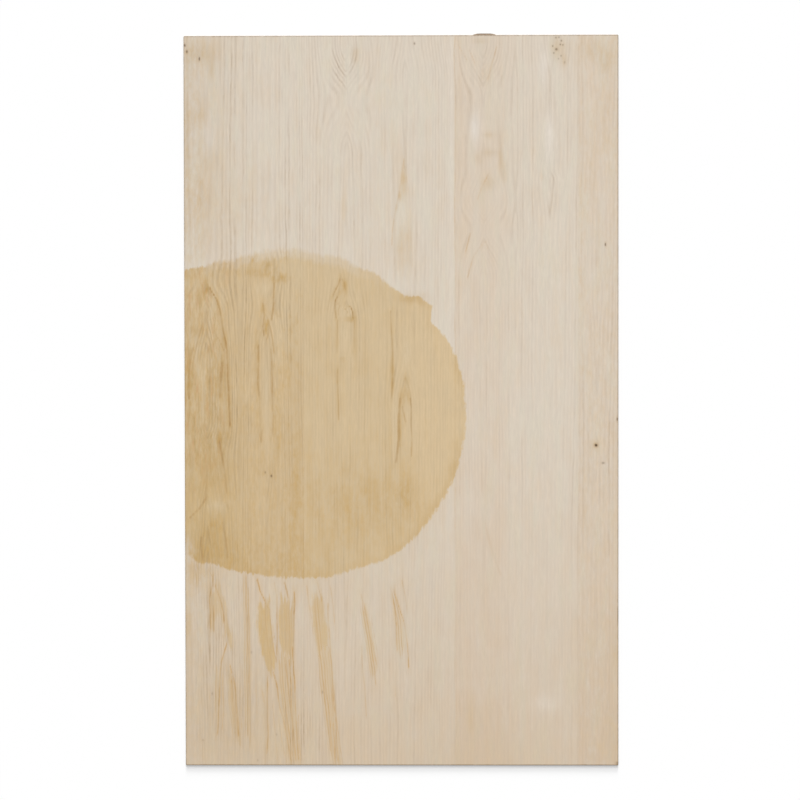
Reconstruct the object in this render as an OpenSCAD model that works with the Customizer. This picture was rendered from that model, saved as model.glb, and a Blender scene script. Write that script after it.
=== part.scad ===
// Spliced wood veneer sheet, lying face up on its glue face.
// Four thick-cut leaves are butted edge to edge, and the sheet is trimmed square.
// X runs across the grain, Y along it towards the head end, Z up out of the show face.
// The origin is on the glue face, midway between the long edges and the two trimmed ends.

/* [Leaves] */
// Width of the leaf at the left long edge
left_leaf_w = 165; // [60:1:300]
// Width of the widest leaf, second from the left
wide_leaf_w = 210; // [60:1:300]
// Width of the figured leaf, third from the left
figured_leaf_w = 170; // [80:1:300]
// Width of the narrow leaf at the right long edge
narrow_leaf_w = 55; // [30:1:200]

/* [Sheet] */
// Length of the trimmed sheet, along the grain
sheet_l = 1010; // [300:5:2500]
// Thickness of the leaves
sheet_t = 3; // [2:0.1:6]
// Radius of the sheet's four corners, seen from above
corner_r = 1.5; // [0.5:0.1:10]
// Height and width of the worn arris round both faces
arris = 0.6; // [0.2:0.1:0.9]

/* [Tongue] */
// Width of the tongue of fibre left standing at the head end of the figured leaf
tongue_w = 33; // [10:1:50]
// How far the tongue stands out of the trimmed end
tongue_h = 2.2; // [0.5:0.1:10]
// Distance from the figured leaf's left edge to the tongue
tongue_inset = 24; // [2:1:28]

/* [Hidden] */
$fn = 64;

// Width of the whole sheet, across the four leaves
sheet_w = left_leaf_w + wide_leaf_w + figured_leaf_w + narrow_leaf_w;
// X of each leaf's left edge
left_leaf_x = -sheet_w / 2;
wide_leaf_x = left_leaf_x + left_leaf_w;
figured_leaf_x = wide_leaf_x + wide_leaf_w;
narrow_leaf_x = figured_leaf_x + figured_leaf_w;
// X of the tongue's middle
tongue_x = figured_leaf_x + tongue_inset + tongue_w / 2;
// How deep the tongue's root runs into the leaf that it is part of
tongue_root = arris;

// Steps in the tongue's outline, and how square its shoulders are
tongue_steps = 16;
tongue_power = 4;
// Height above the trimmed end at s, which runs from -1 to 1 across the tongue
function tongue_rise(s) = tongue_h * (1 - pow(abs(s), tongue_power));

// Plan of the trimmed sheet: a rectangle with its corners rounded
module trimmed_plan() {
    square([sheet_w - 2 * corner_r, sheet_l], center = true);
    square([sheet_w, sheet_l - 2 * corner_r], center = true);
    for (x = [-1, 1], y = [-1, 1])
        translate([x * (sheet_w / 2 - corner_r), y * (sheet_l / 2 - corner_r)])
            circle(r = corner_r);
}

// Cross-section of the given width, standing on the glue face, with a worn arris at each corner
module eased_section(width) {
    edge = width / 2;
    polygon([
        [-edge + arris, 0], [edge - arris, 0], [edge, arris], [edge, sheet_t - arris],
        [edge - arris, sheet_t], [-edge + arris, sheet_t], [-edge, sheet_t - arris], [-edge, arris]
    ]);
}

// The whole trimmed sheet: where its plan and its two cross-sections meet
module trimmed_sheet() {
    intersection() {
        linear_extrude(sheet_t) trimmed_plan();
        rotate([90, 0, 0]) linear_extrude(sheet_l, center = true) eased_section(sheet_w);
        rotate([90, 0, 90]) linear_extrude(sheet_w, center = true) eased_section(sheet_l);
    }
}

// One leaf of the sheet, from the joint at left_x to the next one
module leaf(left_x, width) {
    intersection() {
        trimmed_sheet();
        translate([left_x, -sheet_l / 2, 0]) cube([width, sheet_l, sheet_t]);
    }
}

// Tongue of fibre that the trim left standing, between the two worn arrises
module tongue() {
    outline = [for (i = [0 : tongue_steps]) let (s = 2 * i / tongue_steps - 1)
        [s * tongue_w / 2, tongue_rise(s)]];
    root = [[tongue_w / 2, -tongue_root], [-tongue_w / 2, -tongue_root]];
    translate([tongue_x, sheet_l / 2, arris])
        linear_extrude(sheet_t - 2 * arris) polygon(concat(outline, root));
}

module left_leaf() {
    color("burlywood") leaf(left_leaf_x, left_leaf_w);
}

module wide_leaf() {
    color("wheat") leaf(wide_leaf_x, wide_leaf_w);
}

module figured_leaf() {
    color("antiquewhite") union() {
        leaf(figured_leaf_x, figured_leaf_w);
        tongue();
    }
}

module narrow_leaf() {
    color("bisque") leaf(narrow_leaf_x, narrow_leaf_w);
}

left_leaf();
wide_leaf();
figured_leaf();
narrow_leaf();
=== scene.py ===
# %% [markdown]
# # A sheet of spliced wood veneer
#
# Four thick-cut leaves of pale softwood lie edge to edge and make one flat sheet, 600 by 1010 mm.
# Liquid once soaked in from the left long edge. It left a round ochre stain with a ragged rim, and
# runs that drained from it, along the grain, towards the foot of the sheet.
#
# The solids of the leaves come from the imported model. This script gives them their surfaces: each
# leaf is rebuilt as a fine grid in exactly the same place, and the grid carries the growth rings,
# the stain, the runs and the worn edges to one shader that all four leaves share.

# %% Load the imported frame
import functools
import math

import bpy
import numpy as np
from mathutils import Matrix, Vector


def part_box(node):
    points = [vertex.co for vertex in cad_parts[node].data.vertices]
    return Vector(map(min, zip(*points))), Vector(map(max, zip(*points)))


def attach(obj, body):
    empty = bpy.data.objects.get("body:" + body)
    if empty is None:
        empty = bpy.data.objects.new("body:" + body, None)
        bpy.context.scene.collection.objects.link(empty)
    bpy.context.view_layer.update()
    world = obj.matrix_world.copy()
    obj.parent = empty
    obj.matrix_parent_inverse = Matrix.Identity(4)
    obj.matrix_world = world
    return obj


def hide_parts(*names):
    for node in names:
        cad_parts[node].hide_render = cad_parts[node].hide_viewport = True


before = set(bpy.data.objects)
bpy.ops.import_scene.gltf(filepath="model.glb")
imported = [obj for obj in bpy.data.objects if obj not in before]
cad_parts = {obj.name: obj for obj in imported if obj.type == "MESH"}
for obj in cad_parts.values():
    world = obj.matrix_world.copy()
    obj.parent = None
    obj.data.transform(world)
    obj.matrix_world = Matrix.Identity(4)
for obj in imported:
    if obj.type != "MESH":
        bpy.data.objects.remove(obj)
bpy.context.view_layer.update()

# %% [markdown]
# ## Where things are on the sheet
#
# A veneer worker measures from the left long edge and down from the head end, in millimetres.
# Every feature below is placed in that way: `across` grows to the right, and `down` grows towards
# the foot. The boxes of the leaves turn the two distances into the frame's own metres.

# %% Sizes from the frame
MM = 0.001
LEAVES = ("left_leaf", "wide_leaf", "figured_leaf", "narrow_leaf")
LEAF_BOX = {leaf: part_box(leaf) for leaf in LEAVES}
LEFT_X = LEAF_BOX["left_leaf"][0].x / MM
HEAD_Y = LEAF_BOX["left_leaf"][1].y / MM
LENGTH = HEAD_Y - LEAF_BOX["left_leaf"][0].y / MM
WIDTH = LEAF_BOX["narrow_leaf"][1].x / MM - LEFT_X
THICKNESS = LEAF_BOX["left_leaf"][1].z / MM
TONGUE_RISE = LEAF_BOX["figured_leaf"][1].y / MM - HEAD_Y

print(f"sheet {WIDTH:.1f} x {LENGTH:.1f} x {THICKNESS:.1f} mm, tongue {TONGUE_RISE:.1f} mm proud")

# %% [markdown]
# ## Fields: numbers that change over the sheet
#
# Growth rings, stains and dirt are all fields: one number for each place on the sheet. A field is
# worked out for whole arrays of places at once, and later stored on the mesh as an attribute.
# Four small tools make them. `smooth_step` is a soft switch, `eased` follows a few chosen heights
# with flat turning points, `patch` is a soft oval spot, and `drift` wanders at random but gives the
# same result each run.

# %% Four tools for fields
def smooth_step(low, high, value):
    """0 below low, 1 above high, and the S-curve t*t*(3 - 2t) between them."""
    t = np.clip((value - low) / (high - low), 0, 1)
    return t * t * (3 - 2 * t)


def eased(points, at):
    """Goes through the (place, value) points in order. Between two of them it follows the same
    S-curve, so every point is level: a peak, a hollow or a rest."""
    places, values = (np.array(column, float) for column in zip(*points))
    span = np.clip(np.searchsorted(places, at, side="right") - 1, 0, len(places) - 2)
    rise = smooth_step(places[span], places[span + 1], at)
    return values[span] + (values[span + 1] - values[span]) * rise


def patch(across, down, centre, size):
    """Soft oval spot: e to the minus (distance in half-widths, squared). It is 1 at the centre
    and 0.37 one half-width away, and size is (half-width across, half-width down)."""
    return np.exp(-((across - centre[0]) / size[0]) ** 2 - ((down - centre[1]) / size[1]) ** 2)


LATTICE = 512


@functools.cache
def random_heights(seed):
    """A square lattice of random numbers from -1 to 1, the same ones each time for one seed."""
    return np.random.default_rng(seed).uniform(-1, 1, (LATTICE, LATTICE))


def drift(across, down, step, seed):
    """Random wander from -1 to 1: a lattice of seeded random heights, one for each step
    (across, down) in mm, joined with S-curves in both directions."""
    heights = random_heights(seed)
    column, row = across / step[0] + LATTICE / 2, down / step[1] + LATTICE / 8
    c0, r0 = np.floor(column).astype(int), np.floor(row).astype(int)
    tc, tr = smooth_step(0, 1, column - c0), smooth_step(0, 1, row - r0)
    c0, r0 = c0 % (LATTICE - 1), r0 % (LATTICE - 1)
    upper = heights[r0, c0] * (1 - tc) + heights[r0, c0 + 1] * tc
    lower = heights[r0 + 1, c0] * (1 - tc) + heights[r0 + 1, c0 + 1] * tc
    return upper * (1 - tr) + lower * tr


print("drift at three places:", np.round(drift(np.array([0.0, 50, 99]), np.zeros(3), (20, 90), 1), 3))

# %% [markdown]
# ## Growth rings
#
# A leaf is a flat cut through the nested cones of a tree's growth rings. Along most of the leaf
# the cut meets each ring as a straight line. Where it only grazes a ring, the line turns back on
# itself, which gives the arches and islands that are called cathedrals.
#
# They could be drawn one by one, but a formula gives them all. The rings are counted across the
# leaf, and the count turns round at a few lines that run along the grain. The `lift` of such a line
# is how many mm of rings are stacked up on it, and `reach` is how far from the line they spread.
# Where the lift grows down the sheet the arches point down, and where it shrinks they point up.

# %% The turning lines of each leaf
RING_WIDTH = 3.9
TURN_ROUNDING = 2
# Each turning line: its course as (down, across), its reach, and its lift as (down, mm)
TURNS = {
    "left_leaf": [
        ([(0, 30), (1010, 33)], 30, [(0, 15), (300, 20), (338, 24), (385, 11), (450, 2), (530, 3),
         (585, 17), (660, 7), (740, 1), (1010, 5)]),
        ([(0, 77), (1010, 77)], 10, [(0, 0), (1010, 0)]),
        ([(0, 113), (1010, 113)], 20, [(0, 8), (290, 10), (325, 4), (372, 12), (426, 1), (600, 0), (680, 7),
         (1010, 8)]),
    ],
    "wide_leaf": [
        ([(0, 222), (60, 225), (1010, 222)], 30, [(0, 0), (12, 0), (88, 29), (165, 12), (310, 9), (336, 12),
         (400, 0), (1010, 5)]),
        ([(0, 264), (1010, 264)], 10, [(0, 0), (1010, 0)]),
        ([(0, 306), (1010, 305)], 22, [(0, 8), (440, 12), (515, 0), (600, 0), (1010, 6)]),
    ],
    "figured_leaf": [
        ([(0, 414), (1010, 415)], 30, [(0, 0), (8, 0), (85, 24), (185, 20), (226, 10), (268, 24), (335, 2),
         (1010, 8)]),
        ([(0, 458), (1010, 458)], 10, [(0, 0), (1010, 0)]),
        ([(0, 506), (1010, 500)], 22, [(0, 2), (60, 9), (185, 9), (200, 5), (260, 9), (1010, 5)]),
    ],
    "narrow_leaf": [
        ([(0, 572), (1010, 569)], 20, [(0, 3), (120, 9), (290, 4), (560, 9), (1010, 4)]),
    ],
}


def ring_count(leaf, across, down):
    """Rings crossed so far. It starts as minus the distance across. At each turning line a rounded
    ramp is added or taken away, in turn, so that the count turns round there: the ramp is x plus
    the root of (x squared plus rounding squared), where x is the distance from the line. The lift
    goes with it, and fades with e to the minus (x over reach, squared)."""
    wander = 1.3 * drift(across, down, (60, 230), 11) + 0.5 * drift(across, down, (17, 45), 12)
    place = across + wander
    count = -place
    for number, (course, reach, heights) in enumerate(TURNS[leaf]):
        x = place - eased(course, down)
        lift = eased(heights, down) * np.exp(-((x / reach) ** 2))
        count = count + (x + np.hypot(x, TURN_ROUNDING) + lift) * (1 if number % 2 == 0 else -1)
    uneven = 0.45 * drift(count, 0 * count, (11, 1), 17) + 0.3 * drift(count, 0 * count, (26, 1), 18)
    return count / RING_WIDTH + uneven


print("turning lines:", {leaf: len(turns) for leaf, turns in TURNS.items()})

# %% [markdown]
# ## The stain
#
# A spill spreads evenly from where it lies, so its stain is nearly a circle. The grain and the
# glued joints then pull the rim in and out by a few millimetres. The rim is given by its distance
# from the centre in a few dozen directions, and the fine ragged edge is left to the shader. The
# field says how deep inside the rim a place lies, in mm.

# %% How deep a place lies inside the stain
STAIN_CENTRE = (157.6, 521.6)
# Direction in degrees, anticlockwise from straight right, and the rim's distance in mm
STAIN_RIM = [
    (-180, 238), (-140, 239), (-131, 240), (-127.5, 247), (-125, 249.5), (-118.5, 238.5), (-104, 230),
    (-92, 228), (-80, 229.5), (-70, 229), (-58, 236), (-47, 236), (-36, 232.5), (-20, 233.5), (0, 231.5),
    (17, 232.5), (26, 229.5), (34, 223.5), (39, 237), (43.2, 233.5), (48, 220), (53, 217), (61, 220.5),
    (67, 218), (75, 222.5), (82, 220.5), (91, 226), (103, 228.5), (112, 229.5), (121, 240), (128.5, 252),
    (140, 252), (180, 238),
]


def from_centre(across, down):
    """Direction in degrees and distance in mm of a place, as seen from the stain's centre."""
    x, y = across - STAIN_CENTRE[0], STAIN_CENTRE[1] - down
    return np.degrees(np.arctan2(y, x)), np.hypot(x, y)


def soak_depth(across, down):
    """The rim's distance in the place's direction, less the place's own distance."""
    direction, distance = from_centre(across, down)
    return eased(STAIN_RIM, direction) - distance


# Direction in degrees, and how the rim looks there: 1 has the full dark tide line, 0 has none, and
# below 0 the rim is soft and pale instead
TIDE_SHOWS = [
    (-180, 0.7), (-140, 0.2), (-129, -1), (-124, 0.5), (-118, 0.8), (-105, 0.4), (-80, 0.1), (-60, 0.4),
    (-40, 0.6), (-14, 0.6), (-4, 0.15), (5, 0.3), (14, 0.7), (24, 0.1), (36, 0.4), (46, 0.5), (52, 0.2),
    (60, -0.3), (75, -0.8), (100, -1), (116, -0.7), (130, 0.2), (180, 0.7),
]

middle = np.array([STAIN_CENTRE[0]]), np.array([STAIN_CENTRE[1]])
print("depth at the stain's centre:", float(soak_depth(*middle)[0]), "mm")

# %% [markdown]
# ## Runs and resin lines
#
# Spare liquid drained from the lower rim along the grain. A run starts as a broad pool where the
# rim fed it, and splits into strands a millimetre or two wide. Resin has drawn thin brown lines
# of the same kind inside the stain, round the knots and islands.
#
# All of them go down the sheet without turning back, so each is a function of the distance down:
# where its middle is, and how wide it is there. The fields say how deep inside the nearest pool
# or line a place lies, and how much that one carries, so that strong and faint ones share one
# shader. The place across a pool is kept as well, because the finish draws fine brown threads that
# follow the pool's own course.

# %% Pools: load in percent, and places (across, down, half-width)
POOLS = [
    (86, (108.5, 790, 7.5), (110, 816, 9.5), (113.5, 843, 9), (116.5, 864, 7.5), (118.5, 884, 4)),
    (70, (141, 782, 9), (140, 800, 11), (140.5, 832, 10.5), (141, 858, 8)),
    (62, (183, 770, 5), (184, 790, 8.6), (188, 824, 9.2), (191, 850, 7)),
    (33, (190, 838, 6), (193.5, 863, 8.5), (198, 903, 9.5), (202, 942, 7), (206, 982, 6.5), (210, 1008, 5)),
    (36, (137, 858, 8), (140, 900, 10), (145, 945, 9), (149, 975, 9), (151, 1008, 10)),
    (60, (38, 764, 6), (39, 792, 6), (37, 815, 5)), (50, (47, 768, 5), (51, 788, 6), (54, 812, 4)),
    (60, (59, 812, 4), (61, 838, 5)), (50, (62, 884, 4), (65, 905, 5), (69, 940, 5), (72, 972, 4)),
    (30, (85, 755, 3.5), (86, 830, 4), (86, 969, 4)),
    (32, (248, 790, 3), (252, 815, 5), (257, 845, 5), (262, 880, 5)), (30, (46, 880, 4), (46, 930, 5)),
    (25, (289, 770, 4), (296, 810, 6), (300, 850, 5)), (55, (12, 731, 9), (14, 745, 7)),
    (35, (30, 738, 6), (36, 748, 5)), (20, (112, 900, 4), (113, 1000, 4)),
]

print("pools:", len(POOLS))

# %% Strands and resin lines: half-width, load in percent, and places (across, down)
LINES = [
    # Strands of the runs
    (0.7, 30, (34, 901), (34, 974)), (0.8, 40, (39, 742), (39, 764)),
    (0.9, 60, (37, 760), (33, 779), (35, 798), (35, 824)), (0.9, 60, (39, 786), (40, 824)),
    (1.1, 70, (41, 758), (48, 779), (53, 797), (54, 812)),
    (0.8, 55, (60, 826), (57, 843), (50, 867), (48, 888), (46, 922), (44, 968)),
    (0.7, 45, (61, 888), (64, 922), (68, 967)), (0.6, 30, (52, 872), (51, 900), (52, 930), (50, 960)),
    (0.6, 25, (76, 905), (78, 960)), (0.6, 20, (97, 880), (99, 940)),
    (0.7, 35, (121, 925), (124, 960), (128, 1004)), (0.7, 40, (128, 940), (133, 975), (139, 1005)),
    (0.8, 62, (61, 870), (66, 888), (70, 912), (71, 940), (73, 970)),
    (0.8, 50, (63, 890), (65, 920), (69, 950), (70, 972)),
    (0.9, 35, (84, 747), (84, 787), (87, 812), (87, 886), (86, 969)), (0.7, 20, (89, 865), (89, 955)),
    (1, 60, (100, 751), (104, 767), (112, 785), (115, 791)),
    (0.8, 85, (121.5, 880), (127, 903), (132, 932), (138, 958), (143, 986), (147, 1006)),
    (0.8, 50, (113, 885), (113, 926), (115, 964), (113, 995)), (0.8, 40, (106, 905), (109, 924)),
    (0.9, 45, (123, 755), (126, 775), (127, 830), (126, 866)),
    (1.2, 60, (137, 755), (141, 768), (143, 778)), (1, 60, (152, 768), (153, 790), (151, 800)),
    (0.7, 60, (130, 862), (132, 892), (135, 925), (140, 955), (143, 990)),
    (0.7, 65, (143, 862), (146, 900), (148.5, 945), (151, 975), (153, 1004)),
    (0.6, 35, (157, 940), (157, 975), (160, 1004)),
    (0.8, 75, (149, 845), (150, 876), (152, 926), (154, 955), (157, 1003)),
    (0.7, 60, (138, 860), (141, 890), (144, 915), (147, 945), (149, 985)),
    (0.7, 60, (134, 866), (136, 900), (140, 935), (145, 975), (149, 1006)),
    (1, 50, (182, 752), (186, 771), (189, 782)),
    (0.8, 60, (197, 785), (199, 826), (202, 866), (207, 935), (212, 1006)),
    (0.8, 45, (178, 776), (182, 826), (188, 866), (192, 895), (196, 919)),
    (0.7, 60, (193, 860), (195, 905), (199, 935), (204, 1000)),
    (0.7, 50, (188, 858), (191, 905), (197, 950), (201, 990)),
    (0.7, 60, (198, 850), (202, 905), (205, 950), (208, 1004)),
    (0.7, 40, (168, 760), (171, 787), (175, 807)), (0.7, 35, (201, 760), (205, 790), (207, 815)),
    (0.9, 50, (244, 772), (249, 797), (255, 826), (261, 845), (266, 870)),
    (0.7, 35, (247, 797), (253, 826), (258, 845), (262, 873), (263, 899)),
    (0.9, 25, (245, 843), (246, 876), (250, 915), (251, 945)),
    (0.8, 45, (284, 762), (290, 790), (293, 830), (294, 852)),
    (0.8, 55, (288, 765), (295, 787), (303, 811), (308, 845), (309, 875)),
    (0.7, 30, (300, 753), (305, 775), (308, 800)), (0.7, 20, (292, 881), (292, 915)),
    (1.8, 8, (415, 671), (426, 713), (438, 747)),
    # Resin lines of the left leaf's cathedral, island and lower arch
    (1.1, 70, (34, 347), (44, 362), (50, 378), (54, 407), (59, 434), (61, 480), (62, 540)),
    (0.8, 25, (18, 357), (17, 380)), (0.9, 45, (27, 390), (20, 415), (13, 441), (9, 465)),
    (1.4, 80, (12, 430), (8, 450), (6, 477), (6, 501)), (0.8, 40, (40, 406), (48, 419), (56, 436)),
    (1.8, 70, (53, 450), (50, 480), (48, 500)), (1.2, 55, (102, 426), (103, 450), (102, 480), (104, 498)),
    (0.8, 30, (104, 498), (104, 553)), (0.9, 50, (120, 430), (121, 473), (122, 526), (121, 553)),
    (1.2, 60, (107, 544), (106, 562)), (0.8, 65, (109, 368), (111, 386), (109, 400), (111, 415)),
    (0.8, 45, (113, 385), (117.5, 397), (117, 410), (114, 420)),
    (1.1, 55, (124, 340), (124, 370), (120, 392)),
    (0.9, 50, (115, 388), (119, 402), (122, 423), (124, 440)),
    (1.2, 45, (48, 560), (53, 589), (57, 613), (58, 632)), (1.4, 30, (57, 645), (61, 654)),
    (1.4, 35, (30, 592), (30, 607), (29, 639), (20, 653), (9, 663), (6, 667)),
    (1.1, 40, (24, 587), (26, 581)), (0.9, 25, (21, 686), (30, 683), (43, 682)),
    (1.7, 40, (23, 692), (22, 708), (26, 725)), (1.3, 40, (53, 672), (56, 700), (59, 722)),
    # The wide leaf's eye, and the lines beside its lower island
    (0.8, 85, (217, 334), (214, 343), (209, 351), (205, 360)),
    (0.9, 40, (217, 334), (221, 341), (224, 352)),
    (0.8, 85, (212, 360), (209, 366), (209, 376), (210.5, 389)),
    (0.7, 50, (216, 371), (213, 378), (213, 386)),
    (0.8, 85, (212, 370), (216, 366), (221, 367), (225, 370), (229, 373.5), (233, 380), (234, 389)),
    (0.7, 50, (214, 375), (218, 373), (223, 377), (227, 383)), (0.8, 45, (212, 392), (211, 437)),
    (0.8, 40, (235, 391), (235, 432)), (0.9, 35, (212, 460), (213, 530)),
    (1, 35, (286, 380), (288, 434), (287, 500)), (1.5, 40, (299, 500), (297, 525), (296, 555), (292, 590)),
    (0.9, 40, (312, 500), (314, 520), (314, 581)), (1, 50, (301, 512), (306, 534)),
    (0.8, 30, (304, 170), (301, 195), (297, 222), (293, 240), (289, 265), (288, 290)),
    (0.7, 12, (304, 172), (308, 192), (311, 220), (314, 262), (315, 320)),
    # Arches of the figured leaf
    (1, 25, (421, 190), (411, 209), (405, 227)), (0.9, 25, (416, 283), (400, 305), (391, 335)),
    (0.8, 20, (416, 283), (424, 305)), (0.9, 25, (396, 273), (389, 300)), (0.9, 30, (380, 14), (392, 35)),
    (0.8, 25, (394, 20), (403, 40)), (0.9, 30, (432, 16), (424, 44), (420, 62)),
    # Joints: the glue shows between the wide and the figured leaf
    (0.8, 22, (374.4, 0), (374.4, 311)), (0.7, 14, (374.4, 311), (374.4, 1010)),
]


POOL_SEED, LINE_SEED = 30, 60
POOL_FINGERS = 15
FAR_OUTSIDE = -60
STRAND_WANDER = 0.8
# Keeps the threads of different pools apart
THREAD_GAP = 100


def strand_fields(strands, across, down, seed, fingers=0):
    """For each strand the middle and the half-width are read off at each distance down, with a
    slight wander. Depth is the half-width less the distance, which is the gap across times the
    cosine of the strand's lean, but no more than 0.4 times the distance from its nearer end. The
    ends of a pool break up into fingers, longer or shorter by that many mm. The deepest wins, and
    its load and the place across it are kept too."""
    depth = np.full(across.shape, float(FAR_OUTSIDE))
    load, thread = np.zeros(across.shape), np.zeros(across.shape)
    for number, (carried, *places) in enumerate(strands):
        middle, level, half = (np.array(column, float) for column in zip(*places))
        aside = across - np.interp(down, level, middle)
        aside = aside - STRAND_WANDER * drift(0 * down, down, (1, 28), seed + number)
        lean = np.interp(down, level, np.gradient(middle, level))
        inside = np.interp(down, level, half) - np.abs(aside) / np.sqrt(1 + lean**2)
        finger = fingers * drift(aside, 0 * down, (2.6, 1), seed + number) if fingers else 0
        ends = np.minimum(down - level[0] - finger, level[-1] + finger - down)
        here = np.minimum(inside, 0.4 * ends)
        load = np.where(here > depth, carried / 100, load)
        thread = np.where(here > depth, aside + THREAD_GAP * number, thread)
        depth = np.maximum(depth, here)
    return depth, load, thread


def line_strands():
    """The lines in the same form as the pools: each place gets the line's half-width."""
    return [(load, *[(a, d, half) for a, d in places]) for half, load, *places in LINES]


print("lines:", len(LINES))

# %% [markdown]
# ## Lighter, darker and warmer places
#
# Resin, small knots and grazed rings leave soft spots that are a little darker, paler or more tan
# than the wood around them. They are a list of oval patches, in two fields: `shade`, which is the
# share of light that the place loses, and `tan`, which is how far its colour goes towards resin
# brown, or towards pale wood where it is below nothing. Two more fields say how strongly the ring
# lines show and how pink the wood is.

# %% The soft spots
# Centre across and down, half-width across and down, shade and tan in percent
SPOTS = [
    # Broad tone: the worn head and foot of the left edge, the right edge, and the lower stain
    (0, 120, 70, 190, 3.5, 30), (60, 170, 90, 190, 1, 0), (10, 735, 60, 40, 2, 40),
    (20, 900, 110, 130, 2.2, 12), (390, 40, 100, 80, 0, -12), (606, 350, 26, 600, 0, 14),
    (240, 650, 90, 60, 0, 34), (430, 1005, 90, 40, 1, 20), (170, 985, 150, 60, 0, 25),
    (150, 745, 80, 40, 0, 25), (440, 880, 90, 130, 0, -12), (60, 960, 90, 90, 2, 25),
    (160, 870, 70, 50, 0, 10), (5, 190, 4, 170, 2, 25), (60, 250, 60, 60, 0, 16),
    (30, 150, 34, 55, -0.8, -5), (90, 400, 36, 100, -0.6, -6), (520, 757, 100, 50, -0.8, -6),
    (215, 860, 34, 50, -0.9, -6), (60, 959, 60, 50, 1.2, -3), (270, 757, 90, 45, 0, 6),
    (270, 150, 34, 150, 0.6, 6), (150, 252, 34, 50, 1, 4), (330, 350, 30, 45, 0, 8),
    (50, 360, 60, 42, -1.8, -18), (20, 780, 40, 80, 0, 18), (35, 555, 30, 40, 2, 15),
    (385, 650, 30, 60, 0, -14), (330, 480, 40, 120, 0, -12),
    # Left leaf, above the stain
    (24, 24, 24, 14, 3.5, 45), (38, 46, 5, 14, 2, 35), (23, 106, 9, 16, 0, 38), (36, 142, 6, 20, 0, -35),
    (34, 168, 14, 22, 2, 20), (27, 225, 16, 24, 1, 28), (26, 285, 12, 26, 0, 25), (98, 180, 4, 40, 0, 12),
    (98, 120, 18, 40, 0, -15),
    # Left leaf, in the stain: knots, cathedral, island and lower arch
    (30, 343, 3.5, 8, 4, 55), (31, 351, 5, 5, 3, 70), (47, 368, 4, 7, 0, 40), (56, 418, 3, 14, 0, 30),
    (45, 477, 10, 26, 3, 35), (5, 482, 3, 25, 4, 60), (113.4, 401, 3.2, 10, 1, 100),
    (109, 377, 3, 7, 0, 45), (98, 327, 26, 6, 1, 40), (132, 334, 16, 7, 1, 65), (114, 316, 5, 5, 4, 65),
    (126, 320, 3, 7, 3, 30), (95, 308, 2, 5, 4, 30), (110, 348, 12, 10, -1, -45), (113, 495, 6, 66, 1, -50),
    (49, 559, 3.4, 5, 6, 75), (48, 550, 7, 9, 1, 30), (38, 600, 12, 30, 2, 20), (44, 649, 13, 6, -1, -40),
    (37, 692, 14, 28, 1, 40), (43, 676, 10, 6, 0, 40), (154, 600, 9, 160, 1, 15), (4, 816, 4, 30, 2, 50),
    (150, 330, 20, 20, 0, -15), (8, 735, 12, 8, 2, 30), (30, 655, 45, 55, -1, -10),
    (30, 530, 12, 20, 0, -20), (8, 690, 10, 20, 0, -30), (7, 708, 11, 14, 1, 15), (128, 545, 5, 40, 0, 25),
    # Wide leaf
    (304, 200, 4.5, 22, 0, 70), (298, 222, 2.5, 6, 4, 50), (294, 237, 2, 7, 3, 35),
    (301, 294, 11, 32, 0, 46), (311, 288, 3.5, 36, 0, 30), (222, 235, 4, 22, 0, 35),
    (238, 27, 5, 13, 3, 40), (222, 345, 3.6, 9, 0, 45), (228, 391, 9, 3, 1, 55), (216, 352, 3, 8, 1, 30),
    (222, 383, 8, 6, -2, -45), (234, 389, 3, 4, 3, 40), (221, 417, 6, 22, -1, -40), (219, 446, 4, 3, 1, 40),
    (288, 470, 3, 20, 0, 40), (307, 438, 7, 18, -1, -50), (307, 476, 5, 16, 2, 55),
    (307, 560, 7, 40, 0, 15), (298, 545, 3, 34, 1, 40), (306, 498, 7, 12, 1, 35), (304, 630, 12, 22, 0, 35),
    (291, 540, 3.4, 40, -1, -35), (308, 363, 15, 7, 1, 42), (330, 362, 12, 8, 0, 25),
    (378, 460, 10, 30, 0, 12), (374, 605, 9, 36, 0, 25), (270, 575, 5, 2, 2, 20), (325, 650, 30, 50, 0, 12),
    (215, 355, 26, 40, -0.8, -10),
    # Figured leaf
    (370, 140, 3, 200, -1, -30), (381, 130, 6, 160, 0, 14), (548, 200, 3, 300, 0, 15),
    (420, 945, 14, 40, 0, 12), (500, 925, 20, 11, -1, -32), (560, 560, 20, 160, 0, 15),
    (402, 127, 7, 21, -2, -85), (497, 44, 8, 28, -1.5, -65), (505, 138, 6, 34, -2, -65),
    (421, 137, 8, 4, 2, 40), (423, 162, 10, 5, 3, 36), (406, 170, 6, 8, 1, 35), (437, 172, 4, 16, 1.5, 45),
    (442, 190, 4, 14, 1, 35), (412, 60, 6, 14, 1, 30), (418, 40, 16, 30, 0, 15), (421, 204, 9, 10, 2, 36),
    (525, 36, 5, 10, 2, 42), (517, 18, 12, 16, 2.5, 45), (495, 195, 4, 6, 1, 25), (408, 8, 12, 4, 3, 45),
    (440, 130, 6, 40, 0, 12), (396, 946, 6, 30, 1, 50),
    # Narrow leaf
    (570, 22, 24, 16, 1, 35), (586, 40, 8, 16, 2, 30), (584, 100, 8, 40, 1, 20), (565, 150, 8, 60, 0, 12),
    (582, 230, 6, 30, 0, -20), (597, 858, 7, 26, 1, 30), (597, 980, 7, 30, 1, 35),
    (575, 985, 12, 14, 0, 30), (590, 950, 6, 20, 0, 25), (592, 554, 3, 7, 3, 35), (569, 566, 7, 7, 2, 55),
    (584, 594, 6, 4, 0, -40),
]


def soft_spots(across, down):
    """Sums of the oval patches, once weighted by their shade and once by their tan."""
    shade, tan = np.zeros(across.shape), np.zeros(across.shape)
    for a, d, half_across, half_down, dark, warm in SPOTS:
        spot = patch(across, down, (a, d), (half_across, half_down))
        shade, tan = shade + dark / 100 * spot, tan + warm / 100 * spot
    return shade, tan


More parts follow.
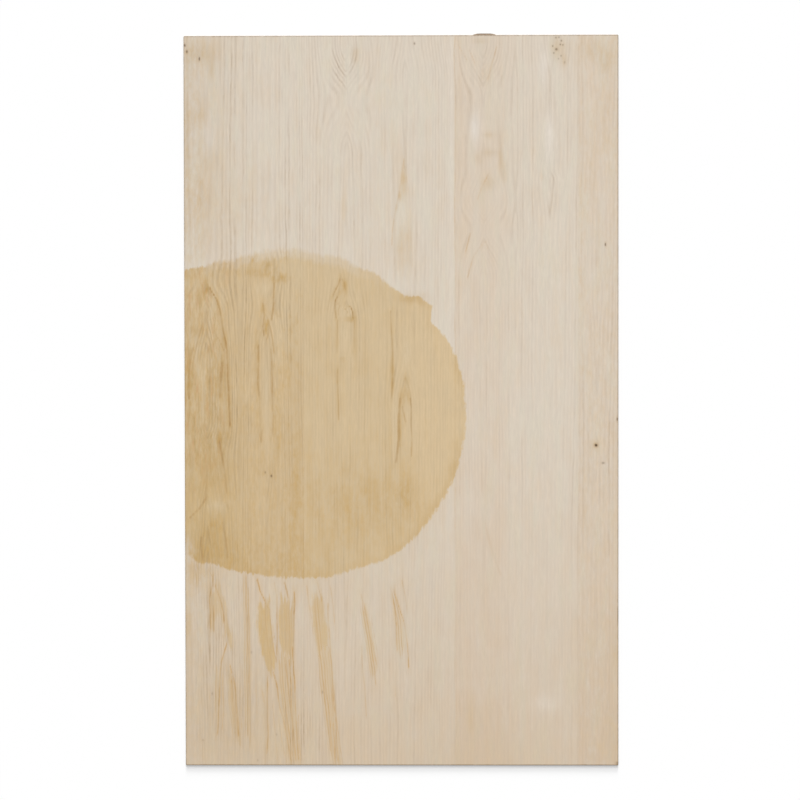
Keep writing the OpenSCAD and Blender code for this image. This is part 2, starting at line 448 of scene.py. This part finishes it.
# Centre across and down, half-width across and down, gain in the ring lines' strength in percent
BANDS = [
    (60, 200, 40, 330, 33), (77, 500, 5, 900, -45), (264, 500, 5, 900, -35), (85, 480, 28, 150, 50),
    (128, 430, 14, 140, 65), (150, 200, 40, 300, 18), (243, 250, 18, 190, 14), (223, 45, 22, 32, 62),
    (222, 125, 20, 28, -24), (120, 30, 50, 40, 20), (412, 52, 28, 48, 28), (414, 235, 28, 60, -22),
    (30, 420, 24, 80, 25), (113, 500, 7, 80, -60), (150, 620, 12, 120, -15), (185, 560, 22, 220, -15),
    (40, 690, 30, 60, 12), (60, 850, 60, 150, 56), (150, 960, 40, 60, 60), (575, 700, 26, 400, 50),
    (340, 620, 40, 200, -15), (190, 880, 24, 90, -20), (502, 190, 36, 170, 24), (570, 190, 26, 150, -10),
]
BASE_STRENGTH = 0.4
# How pink the wood is at each distance across: 1 is heartwood
HEARTWOOD = [(0, 0), (374, 0), (376, 1), (425, 1), (470, 0.15), (538, 0), (550, 0.9), (600, 1)]


def line_strength(across, down):
    """How strongly the ring lines show: a base level, more or less in each band, more where
    liquid has raised the grain, and less at the foot of the two leaves on the right."""
    level = np.full(across.shape, BASE_STRENGTH)
    for a, d, half_across, half_down, gain in BANDS:
        level = level + gain / 100 * patch(across, down, (a, d), (half_across, half_down))
    soaked = smooth_step(-4, 12, soak_depth(across, down))
    foot = smooth_step(600, 760, down) * smooth_step(340, 400, across)
    return np.maximum(level, 0.06) * (1 + 0.28 * soaked) * (1 - 0.46 * foot)


print("soft spots:", len(SPOTS), "bands:", len(BANDS))

# %% [markdown]
# ## The leaf as a closed grid
#
# The show face of a leaf is a grid of points, less than a millimetre apart across the grain and a
# few millimetres apart along it, close enough for the ring count to bend smoothly. Its rim is then
# carried outwards and down, round the worn arris, down the edge and round the lower arris, and the
# underside closes it. At an outer edge the arris is 0.6 mm, as in the solid. At a glued joint only
# a hair-fine V is left, where the leaves were sanded flush. Last, the sheet's four outer corners
# are rounded.

# %% Build one leaf
ARRIS = 0.6
JOINT_V = 0.08
CORNER_RADIUS = 1.5
STEP_ACROSS = 0.68
STEP_DOWN = 4
STEP_CORNER = 0.3
TONGUE_MIDDLE = 415.5
TONGUE_HALF = 16.5
TONGUE_POWER = 4
# How far inside the two arrises the tongue's faces lie
TONGUE_INSET = 0.2


def steps_between(low, high, step):
    """Evenly spaced numbers from low to high, no further apart than step."""
    return np.linspace(low, high, int(np.ceil((high - low) / step)) + 1)


def grid_lines(low, high, step):
    """Evenly spaced lines from low to high, with closer ones over the corner radius at each end."""
    corner = steps_between(0, CORNER_RADIUS - ARRIS, STEP_CORNER)
    middle = steps_between(low + corner[-1], high - corner[-1], step)
    return np.concatenate([low + corner[:-1], middle, high - corner[-2::-1]])


def round_corners(across, down):
    """In the square at each outer corner of the sheet, circles take the place of nested squares:
    the offset from the corner's centre is scaled by its longer side over its length."""
    centre_across = np.clip(across, CORNER_RADIUS, WIDTH - CORNER_RADIUS)
    centre_down = np.clip(down, CORNER_RADIUS, LENGTH - CORNER_RADIUS)
    a, b = across - centre_across, down - centre_down
    scale = np.maximum(abs(a), abs(b)) / np.maximum(np.hypot(a, b), 1e-9)
    return centre_across + a * scale, centre_down + b * scale


def leaf_points(leaf):
    """The leaf's points, and the numbers of those in the grid of its face. The grid is (down,
    across), inset by the arris. Each loop of points after it is the grid's rim moved outwards by
    arris * sin(turn) and down by arris * (1 - cos(turn)), where turn reaches a right angle in three
    steps. Then it goes back in below."""
    left, right = (corner.x / MM - LEFT_X for corner in LEAF_BOX[leaf])
    inset_left = ARRIS if leaf == LEAVES[0] else JOINT_V
    inset_right = ARRIS if leaf == LEAVES[-1] else JOINT_V
    columns = grid_lines(left + inset_left, right - inset_right, STEP_ACROSS)
    rows = grid_lines(ARRIS, LENGTH - ARRIS, STEP_DOWN)
    across, down = np.meshgrid(columns, rows)
    number = np.arange(across.size).reshape(across.shape)
    aside, along = np.zeros(across.shape), np.zeros(across.shape)
    aside[:, 0], aside[:, -1] = -inset_left, inset_right
    along[0], along[-1] = -ARRIS, ARRIS
    face = np.stack([across.ravel(), down.ravel(), np.full(across.size, THICKNESS)], 1)
    rim = rim_order(number)
    across, down, aside, along = (grid.ravel()[rim] for grid in (across, down, aside, along))
    drop = np.where(along != 0, ARRIS, np.abs(aside))
    reach = np.clip(1 - np.abs((across - TONGUE_MIDDLE) / TONGUE_HALF) ** TONGUE_POWER, 0, 1)
    tongue = TONGUE_RISE * reach * (along < 0) * (leaf == "figured_leaf")
    turns = np.radians([30, 60, 90])
    loops = [(math.sin(t), THICKNESS - drop * (1 - math.cos(t)), 0) for t in turns]
    tongue_top, tongue_foot = THICKNESS - ARRIS - TONGUE_INSET, ARRIS + TONGUE_INSET
    loops += [(1, 0 * drop + tongue_top, 1), (1, 0 * drop + tongue_foot, 1)]
    loops += [(math.sin(t), drop * (1 - math.cos(t)), 0) for t in turns[::-1]]
    loops += [(0, 0 * drop, 0)]
    sides = [np.stack([across + out * aside, down + out * along - stands * tongue, height], 1)
             for out, height, stands in loops]
    return [face, *sides], number


def rim_order(number):
    """Numbers of the grid's rim points, once round it."""
    return np.concatenate([number[0, :-1], number[:-1, -1], number[-1, :0:-1], number[:0:-1, 0]])


def grid_faces(number):
    """Four-cornered faces of the grid, facing up."""
    corners = [number[1:, :-1], number[1:, 1:], number[:-1, 1:], number[:-1, :-1]]
    return np.stack([corner.ravel() for corner in corners], 1)


def band_faces(upper, lower):
    """Four-cornered faces between one loop of points and the loop below it, facing outwards."""
    return np.stack([upper, np.roll(upper, -1), np.roll(lower, -1), lower], 1)


def under_faces(loop, row_count, column_count):
    """The underside: a strip right across the leaf for each row, and one cap at each end."""
    across_last, down_last = column_count - 1, row_count - 1
    right = loop[across_last:across_last + row_count]
    left = np.concatenate([[loop[0]], loop[:-row_count:-1]])
    strips = np.stack([left[1:-2], right[1:-2], right[2:-1], left[2:-1]], 1)
    head = [*loop[:column_count], right[1], left[1]]
    foot = [left[-2], right[-2], *loop[across_last + down_last:2 * across_last + down_last + 1]]
    return strips.tolist() + [np.array(head).tolist(), np.array(foot).tolist()]


scene = bpy.context.scene


def add_to_scene(name, data):
    """A new object at the origin, unturned."""
    thing = bpy.data.objects.new(name, data)
    scene.collection.objects.link(thing)
    return thing


def build_leaf(leaf):
    """Makes the mesh of one leaf and stores the fields on its points."""
    points, number = leaf_points(leaf)
    faces = grid_faces(number).tolist()
    loop, first = rim_order(number), number.size
    for ring in points[1:]:
        below = first + np.arange(len(ring))
        faces += band_faces(loop, below).tolist()
        loop, first = below, first + len(ring)
    faces += under_faces(loop, *number.shape)
    place = np.concatenate(points)
    across, down = round_corners(place[:, 0], place[:, 1])
    place[:, 0], place[:, 1] = LEFT_X + across, HEAD_Y - down
    mesh = bpy.data.meshes.new(leaf + "_surface")
    mesh.from_pydata((place * MM).tolist(), [], faces)
    pool, pool_load, thread = strand_fields(POOLS, across, down, POOL_SEED, POOL_FINGERS)
    line, line_load, _ = strand_fields(line_strands(), across, down, LINE_SEED)
    shade, tan = soft_spots(across, down)
    fields = {
        "rings": ring_count(leaf, across, down), "soak": soak_depth(across, down),
        "tide": eased(TIDE_SHOWS, from_centre(across, down)[0]),
        "pool": pool, "pool_load": pool_load, "thread": thread,
        "line": line, "line_load": line_load,
        "shade": shade, "tan": tan, "heart": eased(HEARTWOOD, across),
        "strength": line_strength(across, down), "under": (place[:, 2] == 0).astype(float),
        "leaf": np.full(len(place), float(LEAVES.index(leaf))),
    }
    for name, values in fields.items():
        attribute = mesh.attributes.new(name, "FLOAT", "POINT")
        attribute.data.foreach_set("value", values.astype(np.float32))
    triangles = len(mesh.loops) - 2 * len(mesh.polygons)
    print(f"{leaf}: {number.shape} points on the face, {triangles} triangles")
    return add_to_scene(leaf + "_surface", mesh)


pieces = {leaf: build_leaf(leaf) for leaf in LEAVES}

# %% [markdown]
# ## A short way to write a shader
#
# A finish is a sum of many small effects, and as boxes and wires it would be hard to read. The
# class below wraps one socket, so that `1 - mask` or `stain * 0.5` adds the Math node it stands
# for. Colours are mixed by a Mix node, and every other node comes from one method, which makes
# the node, sets its settings and then fills its sockets.

# %% Sockets that can be added and multiplied
def operator(operation, turned=False):
    """A method that adds one Math node. It is turned where the plain number stands first."""
    def method(self, other):
        return self.math(operation, *((other, self) if turned else (self, other)))
    return method


class Value:
    """A number, colour or vector that comes out of a node of one finish."""

    def __init__(self, finish, socket):
        self.finish = finish
        self.socket = socket

    def math(self, operation, *values):
        inputs = dict(zip(("Value", "Value_001"), values))
        return self.finish.node("Math", {"operation": operation}, inputs)

    __add__, __radd__ = operator("ADD"), operator("ADD", turned=True)
    __sub__, __rsub__ = operator("SUBTRACT"), operator("SUBTRACT", turned=True)
    __mul__, __rmul__ = operator("MULTIPLY"), operator("MULTIPLY", turned=True)
    __truediv__, __rtruediv__ = operator("DIVIDE"), operator("DIVIDE", turned=True)
    least, most = operator("MINIMUM"), operator("MAXIMUM")

    def __abs__(self):
        return self.math("ABSOLUTE", self)

    def __neg__(self):
        return self * -1

    def floor(self):
        return self.math("FLOOR", self)

    def between(self, low, high):
        """0 where the value is below low, 1 above high, and an S-curve between. Where low is the
        larger of the two it falls instead."""
        settings = {"interpolation_type": "SMOOTHSTEP"}
        inputs = {"Value": self, "From Min": low, "From Max": high}
        return self.finish.node("MapRange", settings, inputs)


class Finish:
    """The node tree of one material or world, and the ways that nodes get into it."""

    def __init__(self, owner):
        owner.use_nodes = True
        self.owner = owner
        self.tree = owner.node_tree
        self.tree.nodes.clear()

    def node(self, kind, settings=None, inputs=None, output=0):
        """Adds one node. The settings come first, because they can change which sockets it has.
        Sockets go by their identifiers, and the wanted output comes back as a Value."""
        node = self.tree.nodes.new("ShaderNode" + kind)
        for name, setting in (settings or {}).items():
            setattr(node, name, setting)
        sockets = {socket.identifier: socket for socket in node.inputs}
        for name, value in (inputs or {}).items():
            if isinstance(value, Value):
                self.tree.links.new(value.socket, sockets[name])
            else:
                sockets[name].default_value = value
        return Value(self, node.outputs[output]) if len(node.outputs) else node

    def field(self, name):
        """A field that was stored on the mesh."""
        return self.node("Attribute", {"attribute_name": name}, output="Fac")

    def mix(self, first, second, amount, blend="MIX"):
        """One colour laid over another, by an amount from 0 to 1."""
        settings = {"data_type": "RGBA", "blend_type": blend, "clamp_factor": True}
        inputs = {"A_Color": first, "B_Color": second, "Factor_Float": amount}
        return self.node("Mix", settings, inputs, output=2)

    def vector(self, operation, first, second):
        inputs = {"Vector": first, "Vector_001": second}
        return self.node("VectorMath", {"operation": operation}, inputs)

    def random(self, number):
        """A random number from 0 to 1, the same one each time for the same number."""
        return self.node("TexWhiteNoise", {"noise_dimensions": "1D"}, {"W": number}, "Value")

    def noise(self, place, wide, long, detail=2, roughness=0.5, shift=0):
        """Cloudy noise from 0 to 1, whose clouds are so many mm wide, and long along the grain."""
        stretch = (1 / (wide * MM), 1 / (long * MM), 1 / (wide * MM))
        inputs = {"Vector": self.vector("MULTIPLY", place, stretch), "W": shift, "Scale": 1,
                  "Detail": detail, "Roughness": roughness}
        return self.node("TexNoise", {"noise_dimensions": "4D"}, inputs)


def paint(red, green, blue):
    """Screen colour, each part from 0 to 255, as the linear colour that a shader works in."""
    parts = [part / 255 for part in (red, green, blue)]
    linear = [p / 12.92 if p <= 0.04045 else ((p + 0.055) / 1.055) ** 2.4 for p in parts]
    return (*linear, 1)


print("a screen grey of 188 is", round(paint(188, 188, 188)[0], 3), "in linear light")

# %% [markdown]
# ## The finish of raw veneer
#
# Raw veneer has no lacquer. What shows is dry wood, paler in the leaves cut further out in the
# log and a little pinker near the heart. On that lie the thin dark lines of late wood, short
# fibre flecks, the stain and its runs, and a darker band along the outer edges. Each effect is a
# mask from the fields above or from noise stretched along the grain, and each mask moves the
# colour a little. One finish serves all four leaves, so that marks cross the joints as they should.

# %% Colours of the wood, the stain and the darker edges
DRY = paint(217.5, 205.5, 189)
DRY_FOOT = paint(209, 192, 170)
HEART = (0.983, 0.951, 0.922, 1)
PINKISH = (1, 0.985, 0.975, 1)
GREENISH = (0.985, 1, 0.99, 1)
PALE = paint(221, 211, 199)
PALE_STAIN = paint(209, 189, 156)
TAN = paint(206, 182, 148)
TAN_STAIN = paint(192, 159, 104)
STAIN_LEFT = paint(199, 172, 127)
STAIN_LEAF = paint(205, 180, 141)
STAIN = paint(208, 185, 148)
STAIN_RIGHT = paint(212, 188, 150)
TIDE = paint(203, 175, 131)
RUN = paint(202, 172, 122)
STRAND = paint(200, 165, 119)
RESIN = paint(172, 137, 88)
FLAME = paint(174, 143, 84)
FLAME_RED = paint(192, 144, 98)
LATE_WOOD = paint(150, 125, 94)
END_GRAIN = paint(158, 138, 114)
SPECK = paint(70, 50, 30)
HALO = paint(165, 130, 85)
# Colour that darkens the band along the outer edges
EDGE_DARK = paint(118, 95, 70)

print("dry wood in linear light:", np.round(DRY, 3))

# %% Raw softwood veneer
# Specks: centre across and down, half-width across and down, darkness in percent
SPECKS = [
    (2, 13, 1.3, 2.4, 65), (4.8, 21.7, 1.8, 2.4, 55), (22, 31.5, 1.2, 3, 60), (582, 289, 1.2, 2.6, 60),
    (569.2, 566, 2.4, 2.4, 90), (579, 590.5, 2.6, 1.8, 35), (598.5, 530, 1.5, 3, 50),
    (120, 608, 1.5, 2.4, 55), (111.5, 603, 1.2, 2, 35), (514.5, 20, 1.9, 2, 50), (514, 4, 1.4, 1.6, 40),
    (518, 3.5, 1.2, 1.4, 35), (521.5, 8.3, 1.3, 1.5, 40), (523.5, 14, 1.2, 1.4, 35),
    (520, 13.5, 1.2, 1.4, 40), (511, 25, 1.1, 1.4, 35), (526, 38, 1.5, 2.4, 20), (319, 11.5, 1.3, 2, 40),
    (509.5, 15.5, 1.1, 1.4, 40), (521, 29, 1.2, 1.5, 30), (517.5, 33, 1.1, 1.4, 25),
    (598.5, 1007, 3, 3, 35), (599.6, 803, 1.2, 15, 35), (91.5, 853, 1.4, 2.2, 15), (37, 910, 1.3, 2.4, 20),
    (190, 908, 1.2, 2.4, 22), (24, 975, 1.6, 2, 15), (126, 967, 1.4, 2.2, 15), (100, 1003, 1.4, 2, 15),
]
# Distance between the threads of a run, in mm
THREAD_SPACING = 3.4
LATE_WOOD_SHARE = 0.42
# Added to the distance from a speck on the underside, so that none shows there
NOT_UNDER = 9
# Width in mm of the darker band at the foot, the head and the right edge
DARK_EDGE_WIDTH = 4


def veneer_finish():
    finish = Finish(bpy.data.materials.new("raw_softwood_veneer"))
    node, field, mix = finish.node, finish.field, finish.mix
    place = node("TexCoord", output="Object")
    noise = functools.partial(finish.noise, place)
    parts = node("SeparateXYZ", inputs={"Vector": place}).socket.node.outputs
    x, y, height = (Value(finish, parts[axis]) / MM for axis in "XYZ")
    across, down = x - LEFT_X, HEAD_Y - y
    from_side, from_end = across.least(WIDTH - across), down.least(LENGTH - down)
    leaf = field("leaf")
    on_left_leaf = (0.5 - leaf).between(-0.1, 0.1)
    strength = field("strength")
    under = field("under")
    face = 1 - under

    # Clouds, long along the grain, from broad tone down to fibres. Each leaf's are shifted
    broad = noise(60, 300, shift=leaf * 3.1)
    streaks = noise(8, 120, roughness=0.6, shift=leaf * 5.3)
    grain = noise(3.2, 40, roughness=0.7, shift=leaf * 1.7)
    fibre = noise(1.7, 12, roughness=0.7, shift=leaf)
    blotch = noise(5, 12, detail=3, roughness=0.65, shift=7)
    patches = noise(16, 75, roughness=0.6, shift=leaf + 9)
    cloudy = noise(24, 34, roughness=0.6, shift=3)
    ragged = noise(4, 7, detail=3, roughness=0.6)

    # Ring lines: the share of the way through each ring, dark towards its end. On the underside
    # the rings are nearly straight
    wobble = noise(6, 32, shift=leaf * 2)
    straight = x / RING_WIDTH + leaf * 7.3 + 5 * broad
    rings = field("rings") * face + straight * under + 0.7 * (wobble - 0.5)
    ring = rings.floor()
    share = rings - ring
    each = finish.random(ring + leaf * 40)
    late = share.between(0.2, 0.62) * (1 - share.between(0.74, 1)) * (0.25 + 0.75 * each)
    shows = strength * patches.between(0.3, 0.62) * (0.15 + 1.7 * fibre.between(0.25, 0.75))

    # Dry wood
    dry = mix(DRY, DRY_FOOT, down.between(485, 985))
    dry = mix(dry, HEART, field("heart") * (0.6 + 0.8 * broad), "MULTIPLY")
    dry = mix(dry, PINKISH, patches.between(0.45, 0.65), "MULTIPLY")
    dry = mix(dry, GREENISH, patches.between(0.5, 0.35), "MULTIPLY")

    # Stained wood, deeper towards the edge where the liquid came in
    rim = field("soak") + 9 * (ragged - 0.5) + 5 * (grain - 0.5) + 7 * (blotch - 0.5)
    tide = field("tide")
    soft = (-tide).most(0)
    wet = rim.between(-1.9 - 4 * soft, 2 + 3 * soft)
    low_on_left = on_left_leaf * down.between(385, 485)
    stained = mix(STAIN, STAIN_RIGHT, across.between(270, 350))
    stained = mix(stained, STAIN_LEAF, across.between(140, 100).most(low_on_left))
    deeper = across.between(120, 20) * (0.25 + 0.85 * down.between(355, 705))
    stained = mix(stained, STAIN_LEFT, deeper)
    band = rim.between(0, 3) * (1 - rim.between(3, 14))
    stained = mix(stained, TIDE, tide.most(0) * band * (0.2 + 1.4 * blotch))
    stained = mix(stained, dry, 0.5 * soft * (1 - rim.between(5, 16)))
    wood = mix(dry, stained, wet)

    # Runs
    pool = field("pool") + 5 * (ragged - 0.5) + 7 * (grain - 0.5)
    load = field("pool_load") * (1 - wet)
    uneven = 0.2 + 0.8 * blotch + 0.8 * grain
    wood = mix(wood, RUN, pool.between(-2.4, 2) * load * uneven)
    thread = field("thread") / THREAD_SPACING + 0.8 * (wobble - 0.5)
    number = thread.floor()
    ridge = 1 - abs(2 * (thread - number) - 1)
    drawn = finish.random(number).between(0.2, 0.8) * pool.between(-5, 0) * (0.2 + 1.1 * fibre)
    drawn = drawn * (1.1 * load.least(0.4) + 0.3 * load.between(0, 0.2))
    wood = mix(wood, STRAND, ridge.between(0.35, 0.95) * drawn)
    wood = mix(wood, RESIN, ridge.between(0.7, 1) * drawn * 0.6)

    # Resin brown and pale places, mottled, and a faint drift of both over the whole sheet
    mottle = (0.5 * blotch + 0.3 * fibre + 0.2 * grain).between(0.3, 0.66)
    on_narrow_leaf = (leaf - 2.5).between(-0.1, 0.1)
    worn = across.between(45, 15).most(on_narrow_leaf)
    clouds = (0.6 * (streaks - 0.5) + 0.5 * (cloudy - 0.5)) * (1 + 0.5 * wet)
    clouds = clouds + (0.3 + 1.1 * wet * on_left_leaf).most(1.15 * worn) * (blotch - 0.5)
    near_line = field("line").between(-5, 0) * field("line_load")
    patchy = 0.7 + 0.6 * mottle + 0.8 * wet * (mottle - 0.5)
    tan = field("tan") * patchy + clouds + 0.35 * near_line
    wood = mix(wood, mix(TAN, TAN_STAIN, wet), tan.most(0))
    wood = mix(wood, mix(PALE, PALE_STAIN, wet), (-tan).most(0))

    # Flames of brown and pale wood in the part that lay wet the longest
    flame = noise(6, 26, detail=5, roughness=0.68, shift=21)
    flamed = wet * across.between(75, 38) * (1 - 0.75 * down.between(565, 645))
    brown = mix(FLAME, FLAME_RED, grain.between(0.42, 0.6))
    wood = mix(wood, brown, flame.between(0.46, 0.74) * flamed * 0.6)
    wood = mix(wood, PALE_STAIN, flame.between(0.54, 0.34) * flamed * 0.55)

    # Resin lines and the strands of the runs, broken along their length
    line = field("line") + 1.6 * (fibre - 0.5) + 0.8 * (grain - 0.5)
    broken = (0.25 + 0.9 * mottle) * (0.45 + 0.8 * patches.between(0.35, 0.6))
    broken = broken * field("line_load")
    thread_colour = mix(STRAND, RESIN, wet)
    wood = mix(wood, thread_colour, line.between(-0.7, 0.6) * broken * 1.1)
    wood = mix(wood, RESIN, line.between(0.2, 1) * broken * (0.75 - 0.55 * wet))

    # No liquid reached the underside. Above it come the cut edges, whose end grain is darker
    wood = mix(wood, dry, under)
    at_tongue = abs(across - TONGUE_MIDDLE).between(TONGUE_HALF - 0.5, TONGUE_HALF - 2)
    cut = (THICKNESS - height).between(ARRIS, 1.5 * ARRIS) * face * (1 - at_tongue)
    wood = mix(wood, END_GRAIN, cut * (0.4 + 0.45 * from_end.between(ARRIS, 0)))

    # Ring lines and fibres
    wood = mix(wood, LATE_WOOD, late * shows * LATE_WOOD_SHARE)
    light = 1 - field("shade") * face + 0.03 * (broad - 0.5) + 0.065 * (streaks - 0.5)
    light = light + 0.04 * (cloudy - 0.5) + (0.05 + 0.04 * wet) * (blotch - 0.5)
    light = light + (0.06 + 0.2 * strength) * (grain - 0.5)
    light = light + (0.12 + 0.16 * strength) * (fibre - 0.5)

    # Knots and specks: distance from the centre in half-widths
    for a, d, half_across, half_down, percent in SPECKS:
        centre = ((LEFT_X + a) * MM, (HEAD_Y - d) * MM, 0)
        gap = finish.vector("SUBTRACT", place, centre)
        gap = finish.vector("MULTIPLY", gap, (1 / half_across / MM, 1 / half_down / MM, 0))
        away = node("VectorMath", {"operation": "LENGTH"}, {"Vector": gap}, "Value")
        away = away + 0.8 * (ragged - 0.5) + NOT_UNDER * under
        darkness = percent / 100
        wood = mix(wood, HALO, (1 - away.between(0.9, 2.2)) * darkness * 0.35)
        wood = mix(wood, SPECK, (1 - away.between(0.4, 1.15)) * darkness)

    # The outer edges darken over their last 2.4 mm, most at the foot, then the tongue, the head and the
    # right edge
    edge_darkening = 1 - (from_side.least(from_end) + 1.6 * (ragged - 0.5)).between(0, 2.4)
    foot = down.between(LENGTH - DARK_EDGE_WIDTH, LENGTH)
    head = down.between(DARK_EDGE_WIDTH, 0)
    tongue = at_tongue * down.between(1.8, 0.8)
    right = across.between(WIDTH - DARK_EDGE_WIDTH, WIDTH)
    edge_dark_share = 0.05 + 0.6 * streaks + 0.45 * foot + 0.22 * head + 0.18 * right + 0.25 * tongue
    wood = mix(wood, EDGE_DARK, edge_darkening * edge_dark_share)
    scale = node("VectorMath", {"operation": "SCALE"}, {"Vector": wood, "Scale": light})

    bump = node("Bump", None, {
        "Strength": 0.25, "Distance": 0.00005, "Height": fibre - 0.6 * late})
    shader = node("BsdfPrincipled", None, {
        "Base Color": scale, "Roughness": 0.62 + 0.12 * fibre, "Normal": bump,
        "Specular IOR Level": 0.25, "IOR": 1.45})
    node("OutputMaterial", None, {"Surface": shader})
    return finish.owner


raw_veneer = veneer_finish()
for leaf, piece in pieces.items():
    piece.data.materials.append(raw_veneer)
    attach(piece, "root")
    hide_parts(leaf)
print("finish with", len(raw_veneer.node_tree.nodes), "nodes on", len(pieces), "leaves")

# %% [markdown]
# ## Floor and light
#
# The sheet lies on a plain floor. Part of the floor's white comes from a glow that only the
# camera sees, so the floor looks white and still keeps the sheet's soft shadow. The light comes
# from above and from beyond the head end: the world fills evenly, and two wide suns, one low and
# one high, throw a short soft shadow at the foot. Together they add up to a level at which a
# colour renders as it is written.

# %% Floor
WHITE = (1, 1, 1, 1)
FLOOR_ALBEDO = 0.6
FLOOR_SIZE = 12
# A hair below the sheet, because two surfaces in one plane flicker
FLOOR_Z = -0.1 * MM


def seen_directly(finish):
    """1 for what the camera sees, also in a gloss or through glass, and 0 for what only lights."""
    path = finish.node("LightPath").socket.node.outputs
    seen = Value(finish, path["Is Camera Ray"]).most(Value(finish, path["Is Glossy Ray"]))
    return seen.most(Value(finish, path["Is Transmission Ray"]))


def floor_finish():
    finish = Finish(bpy.data.materials.new("white_studio_floor"))
    paper = finish.node("BsdfDiffuse", None, {"Color": (FLOOR_ALBEDO,) * 3 + (1,)})
    glow = finish.node("Emission", None, {
        "Color": WHITE, "Strength": seen_directly(finish) * (1 - FLOOR_ALBEDO)})
    both = finish.node("AddShader", None, {"Shader": paper, "Shader_001": glow})
    finish.node("OutputMaterial", None, {"Surface": both})
    return finish.owner


half = FLOOR_SIZE / 2
floor_mesh = bpy.data.meshes.new("floor")
corners = [(-half, -half), (half, -half), (half, half), (-half, half)]
floor_mesh.from_pydata([(x, y, FLOOR_Z) for x, y in corners], [], [(0, 1, 2, 3)])
floor_mesh.materials.append(floor_finish())
floor = add_to_scene("floor", floor_mesh)
print("floor", FLOOR_SIZE, "m square")

# %% Light
WORLD_SHARE = 0.28
SUNS = {"high_window": (34, 40, 0.52), "low_window": (14, 12, 0.20)}


def add_sun(name, elevation, spread, share):
    """A sun from beyond the head end. Its strength is share * pi / sin(elevation), so that it
    lights a level white surface to that share of full white."""
    lamp = bpy.data.lights.new(name, "SUN")
    lamp.energy = share * math.pi / math.sin(math.radians(elevation))
    lamp.angle = math.radians(spread)
    add_to_scene(name, lamp).rotation_euler = (-math.radians(90 - elevation), 0, 0)
    print(f"{name}: {elevation} degrees high, strength {lamp.energy:.2f}")


for name, (elevation, spread, share) in SUNS.items():
    add_sun(name, elevation, spread, share)


def studio_world():
    """Lights the sheet at WORLD_SHARE from all round, and looks plain white itself."""
    finish = Finish(bpy.data.worlds.new("studio"))
    strength = WORLD_SHARE + (1 - WORLD_SHARE) * seen_directly(finish)
    sky = finish.node("Background", None, {"Color": WHITE, "Strength": strength})
    finish.node("OutputWorld", None, {"Surface": sky})
    return finish.owner


scene.world = studio_world()

# %% [markdown]
# ## Camera
#
# The camera hangs nearly over the middle of the sheet, as on a copy stand. Its long lens keeps the
# edges almost parallel. It is about a degree out of square.

# %% Camera
camera_data = bpy.data.cameras.new("copy_stand")
camera_data.lens = 85
camera_data.sensor_width = 36
camera = add_to_scene("copy_stand", camera_data)
camera.location = (0.0242, 0.0417, 2.615)
camera.rotation_euler = tuple(math.radians(angle) for angle in (-0.873, 0.568, -0.095))
scene.camera = camera
scene.view_settings.view_transform = "Standard"
print(f"camera {camera.location.z:.2f} m above the floor, {camera_data.lens:.0f} mm lens")
